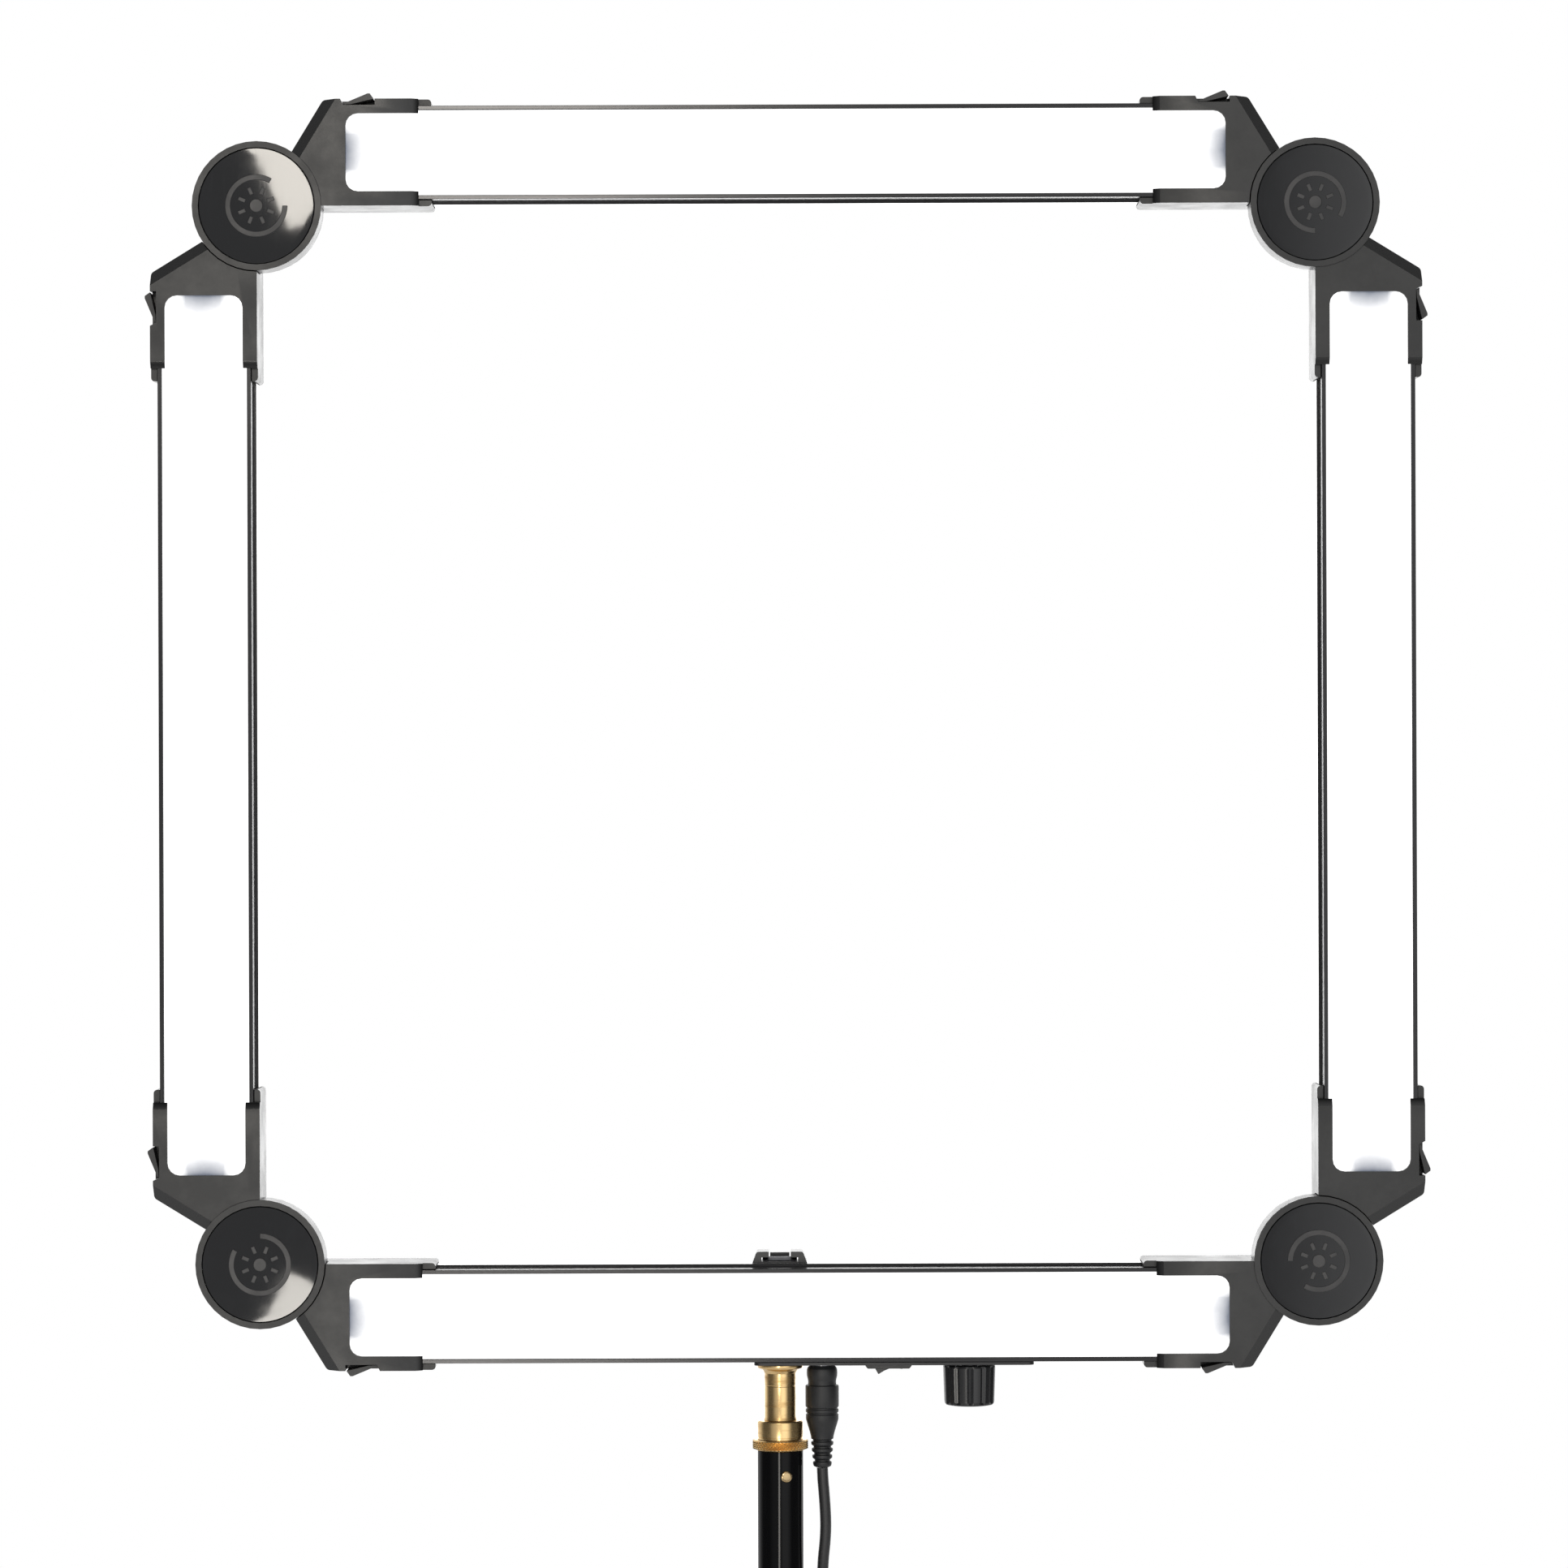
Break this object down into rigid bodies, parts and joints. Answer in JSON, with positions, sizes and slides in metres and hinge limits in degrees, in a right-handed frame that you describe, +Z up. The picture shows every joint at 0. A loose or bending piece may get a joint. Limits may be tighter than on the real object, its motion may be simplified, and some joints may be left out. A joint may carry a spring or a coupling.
{
  "type": "led frame light",
  "caption": "Square ring of hinged LED light bars with an open centre, on a stand stud, with a rocker switch, dimmer knob, cold shoe and supply lead.",
  "frame": {"origin": "centre of the lower end of the stand riser that holds the light up", "axes": "+Z up along the riser, -Y is the way the light shines, +X to the right when the light is seen from the front"},
  "size_m": [0.6484, 0.0817, 0.8891],
  "materials": {
    "anodised_black": "satin black anodised extrusion",
    "opal": "translucent opal, lit from behind",
    "led_board": "white solder mask",
    "green_board": "green solder mask",
    "moulded_black": "fine textured moulding",
    "latch_black": "smooth satin moulding",
    "gloss_cap": "polished black",
    "steel": "zinc plated",
    "acetal": "natural acetal",
    "plate_black": "satin black",
    "switch_black": "satin black",
    "knob_black": "semi-gloss black",
    "shoe_black": "black painted steel",
    "brass": "turned and lightly polished",
    "tube_black": "gloss black",
    "plug_black": "matte overmoulding",
    "cord_black": "matte sheath"
  },
  "bodies": {
    "stand": {"stand_tube": "tube_black", "stand_collar": "brass", "tube_rivet": "brass", "riser_bush": "plate_black"},
    "lock_ring": {"lock_ring": "brass"},
    "top_bar": {"top_channel": "anodised_black", "top_diffuser": "opal", "top_led_board": "led_board", "top_lead_fork": "moulded_black", "top_tail_fork": "moulded_black", "top_knuckle_cap": "gloss_cap", "top_pivot_bolt": "steel", "top_friction_washer": "acetal"},
    "right_bar": {"right_channel": "anodised_black", "right_diffuser": "opal", "right_led_board": "led_board", "right_lead_fork": "moulded_black", "right_tail_fork": "moulded_black", "right_knuckle_cap": "gloss_cap", "right_pivot_bolt": "steel", "right_friction_washer": "acetal"},
    "bottom_bar": {"bottom_channel": "anodised_black", "bottom_diffuser": "opal", "bottom_led_board": "led_board", "bottom_lead_fork": "moulded_black", "bottom_tail_fork": "moulded_black", "bottom_knuckle_cap": "gloss_cap", "bottom_pivot_bolt": "steel", "bottom_friction_washer": "acetal", "control_plate": "plate_black", "dc_jack": "switch_black", "power_switch_bezel": "switch_black", "dimmer_pot": "steel", "cold_shoe": "shoe_black", "mount_insert": "steel", "driver_board": "green_board", "stand_stud": "brass", "dc_plug": "plug_black", "power_cord": "cord_black", "cord_coil": "cord_black", "cord_tie": "plug_black", "supply_connector": "plug_black"},
    "left_bar": {"left_channel": "anodised_black", "left_diffuser": "opal", "left_led_board": "led_board", "left_lead_fork": "moulded_black", "left_tail_fork": "moulded_black", "left_knuckle_cap": "gloss_cap", "left_pivot_bolt": "steel", "left_friction_washer": "acetal"},
    "power_switch_rocker": {"power_switch_rocker": "switch_black"},
    "dimmer_knob": {"dimmer_knob": "knob_black"},
    "top_lead_latch": {"top_lead_latch": "latch_black"},
    "top_tail_latch": {"top_tail_latch": "latch_black"},
    "right_lead_latch": {"right_lead_latch": "latch_black"},
    "right_tail_latch": {"right_tail_latch": "latch_black"},
    "bottom_lead_latch": {"bottom_lead_latch": "latch_black"},
    "bottom_tail_latch": {"bottom_tail_latch": "latch_black"},
    "left_lead_latch": {"left_lead_latch": "latch_black"},
    "left_tail_latch": {"left_tail_latch": "latch_black"}
  },
  "joints": [
    {"name": "pan", "type": "hinge", "parent": "stand", "child": "bottom_bar", "pos_m": [0, 0, 0.0852], "axis": [0, 0, 1], "range_deg": [-180, 180]},
    {"name": "lock_ring_turn", "type": "hinge", "parent": "stand", "child": "lock_ring", "pos_m": [0, 0, 0.07285], "axis": [0, 0, 1], "range_deg": [0, 180]},
    {"name": "left_hinge", "type": "hinge", "parent": "bottom_bar", "child": "left_bar", "pos_m": [-0.2626, 0, 0.1666], "axis": [0, 1, 0], "range_deg": [-82, 82]},
    {"name": "top_hinge", "type": "hinge", "parent": "left_bar", "child": "top_bar", "pos_m": [-0.2626, 0, 0.7016], "axis": [0, 1, 0], "range_deg": [-82, 82]},
    {"name": "right_hinge", "type": "hinge", "parent": "bottom_bar", "child": "right_bar", "pos_m": [0.2724, 0, 0.1666], "axis": [0, 1, 0], "range_deg": [-82, 82]},
    {"name": "dimmer_turn", "type": "hinge", "parent": "bottom_bar", "child": "dimmer_knob", "pos_m": [0.0962, 0, 0.1039], "axis": [0, 0, 1], "range_deg": [-140, 140]},
    {"name": "power_rocker", "type": "hinge", "parent": "bottom_bar", "child": "power_switch_rocker", "pos_m": [0.055, 0, 0.1149], "axis": [0, 1, 0], "range_deg": [0, 24]},
    {"name": "top_lead_latch_press", "type": "hinge", "parent": "top_bar", "child": "top_lead_latch", "pos_m": [-0.2169, 0, 0.7537], "axis": [0, 1, 0], "range_deg": [0, 7.5], "stiffness_Nm_per_rad": 0.12, "springref_deg": -5.73},
    {"name": "top_tail_latch_press", "type": "hinge", "parent": "top_bar", "child": "top_tail_latch", "pos_m": [0.2154, 0, 0.7537], "axis": [0, 1, 0], "range_deg": [0, 7.5], "stiffness_Nm_per_rad": 0.12, "springref_deg": -5.73},
    {"name": "right_lead_latch_press", "type": "hinge", "parent": "right_bar", "child": "right_lead_latch", "pos_m": [0.3245, 0, 0.6559], "axis": [0, 1, 0], "range_deg": [0, 7.5], "stiffness_Nm_per_rad": 0.12, "springref_deg": -5.73},
    {"name": "right_tail_latch_press", "type": "hinge", "parent": "right_bar", "child": "right_tail_latch", "pos_m": [0.3245, 0, 0.2236], "axis": [0, 1, 0], "range_deg": [0, 7.5], "stiffness_Nm_per_rad": 0.12, "springref_deg": -5.73},
    {"name": "bottom_lead_latch_press", "type": "hinge", "parent": "bottom_bar", "child": "bottom_lead_latch", "pos_m": [0.2267, 0, 0.1145], "axis": [0, 1, 0], "range_deg": [0, 7.5], "stiffness_Nm_per_rad": 0.12, "springref_deg": -5.73},
    {"name": "bottom_tail_latch_press", "type": "hinge", "parent": "bottom_bar", "child": "bottom_tail_latch", "pos_m": [-0.2056, 0, 0.1145], "axis": [0, 1, 0], "range_deg": [0, 7.5], "stiffness_Nm_per_rad": 0.12, "springref_deg": -5.73},
    {"name": "left_lead_latch_press", "type": "hinge", "parent": "left_bar", "child": "left_lead_latch", "pos_m": [-0.3147, 0, 0.2123], "axis": [0, 1, 0], "range_deg": [0, 7.5], "stiffness_Nm_per_rad": 0.12, "springref_deg": -5.73},
    {"name": "left_tail_latch_press", "type": "hinge", "parent": "left_bar", "child": "left_tail_latch", "pos_m": [-0.3147, 0, 0.6446], "axis": [0, 1, 0], "range_deg": [0, 7.5], "stiffness_Nm_per_rad": 0.12, "springref_deg": -5.73}
  ],
  "couplings": [
    {"joint": "top_hinge", "follows": "left_hinge", "ratio": -1},
    {"joint": "right_hinge", "follows": "left_hinge", "ratio": 1}
  ]
}
